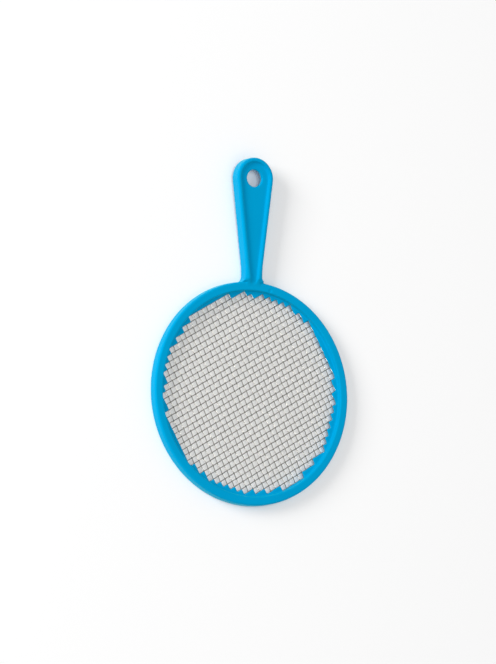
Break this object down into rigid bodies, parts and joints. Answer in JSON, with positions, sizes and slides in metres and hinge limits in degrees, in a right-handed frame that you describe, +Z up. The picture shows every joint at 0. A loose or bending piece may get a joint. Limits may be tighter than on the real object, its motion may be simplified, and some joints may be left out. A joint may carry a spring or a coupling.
{
  "type": "sand sieve",
  "caption": "Flat round hand sieve: a woven wire cloth set in a moulded plastic ring with a tapered handle in one piece and a hanging hole.",
  "frame": {"origin": "middle of the overall length and width, on the flat underside", "axes": "+Z up out of the ring's open face, +Y along the handle towards the hanging hole, +X to the right seen from above"},
  "size_m": [0.18, 0.28, 0.0122],
  "materials": {
    "blue_plastic": "satin moulded polypropylene",
    "steel_wire": "drawn galvanised wire"
  },
  "bodies": {
    "root": {"frame": "blue_plastic", "warp_wires": "steel_wire", "weft_wires": "steel_wire"}
  },
  "joints": []
}
